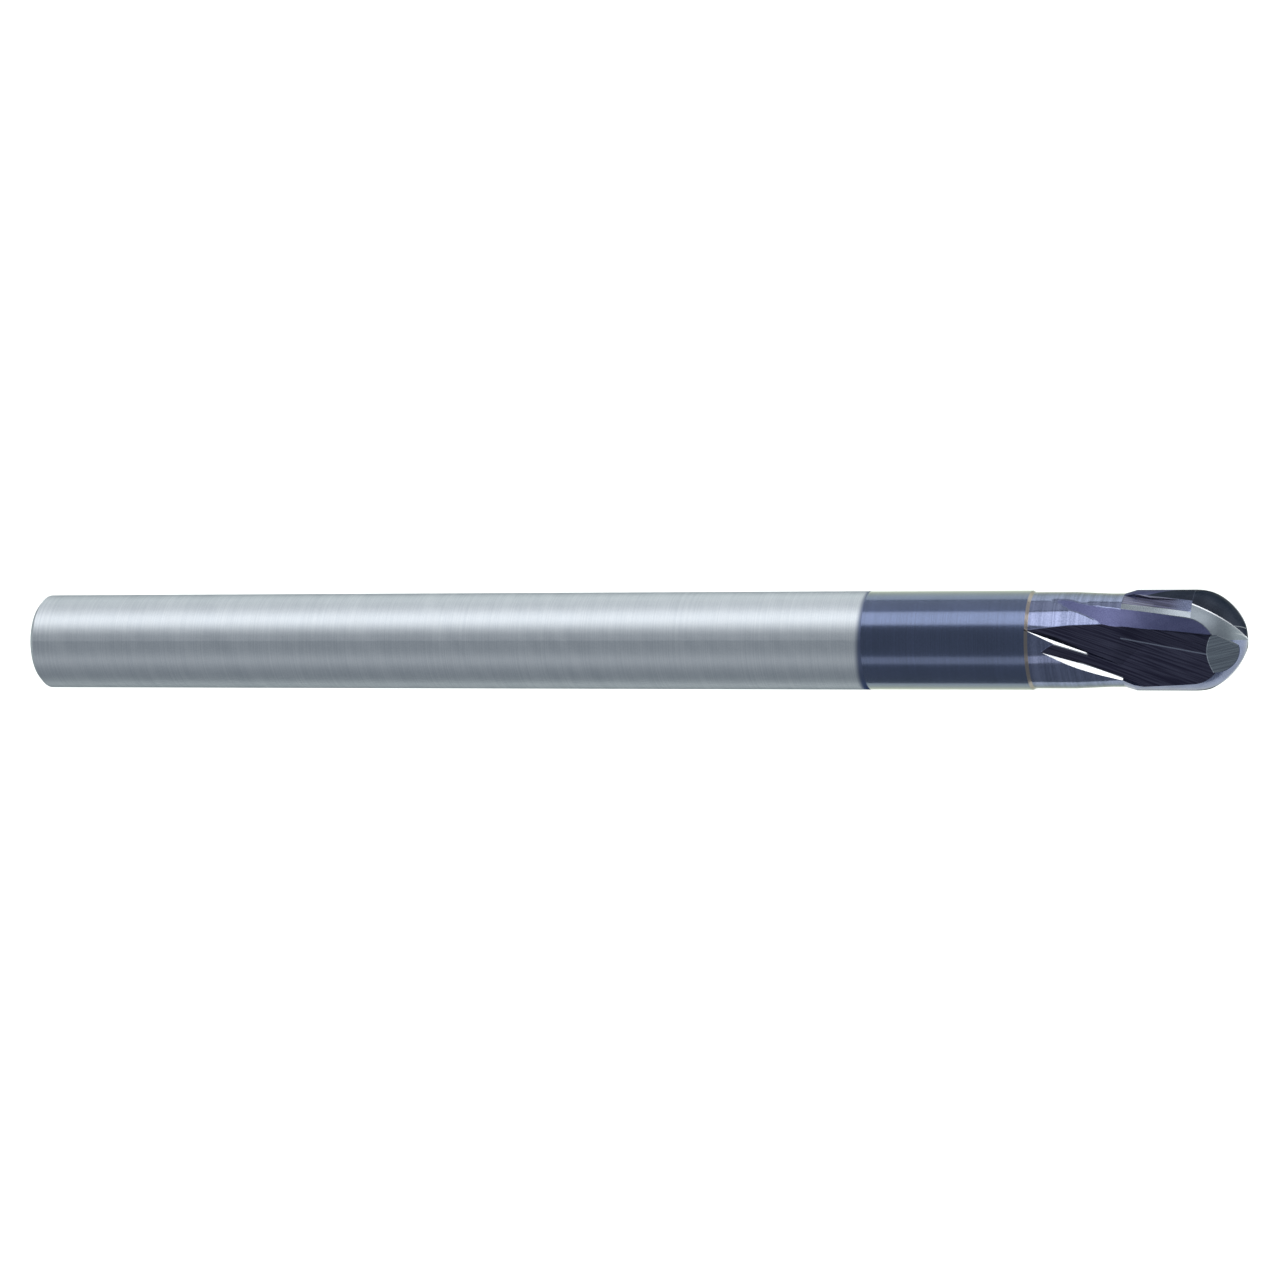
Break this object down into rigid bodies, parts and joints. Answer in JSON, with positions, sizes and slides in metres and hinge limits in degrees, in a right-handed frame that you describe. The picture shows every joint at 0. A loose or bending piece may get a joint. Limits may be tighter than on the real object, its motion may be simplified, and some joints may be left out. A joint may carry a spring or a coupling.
{
  "type": "ball nose end mill",
  "caption": "Long-shank ball-nose end mill: plain round shank with a coated front, relieved neck and a short helical cutting head with a ball tip.",
  "frame": {"origin": "centre of the shank's rear end face, on the tool axis", "axes": "+X along the tool axis from the shank to the ball tip; +Z and +Y across the tool"},
  "size_m": [0.13, 0.01, 0.01],
  "materials": {
    "ground_carbide": "centreless ground, satin",
    "coated_shank": "violet-black vapour coating over ground carbide",
    "coated_neck": "violet-black vapour coating over ground carbide",
    "coated_head": "violet-black vapour coating over ground carbide"
  },
  "bodies": {
    "root": {"shank": "ground_carbide", "coated_shank": "coated_shank", "neck": "coated_neck", "cutting_head": "coated_head"}
  },
  "joints": []
}
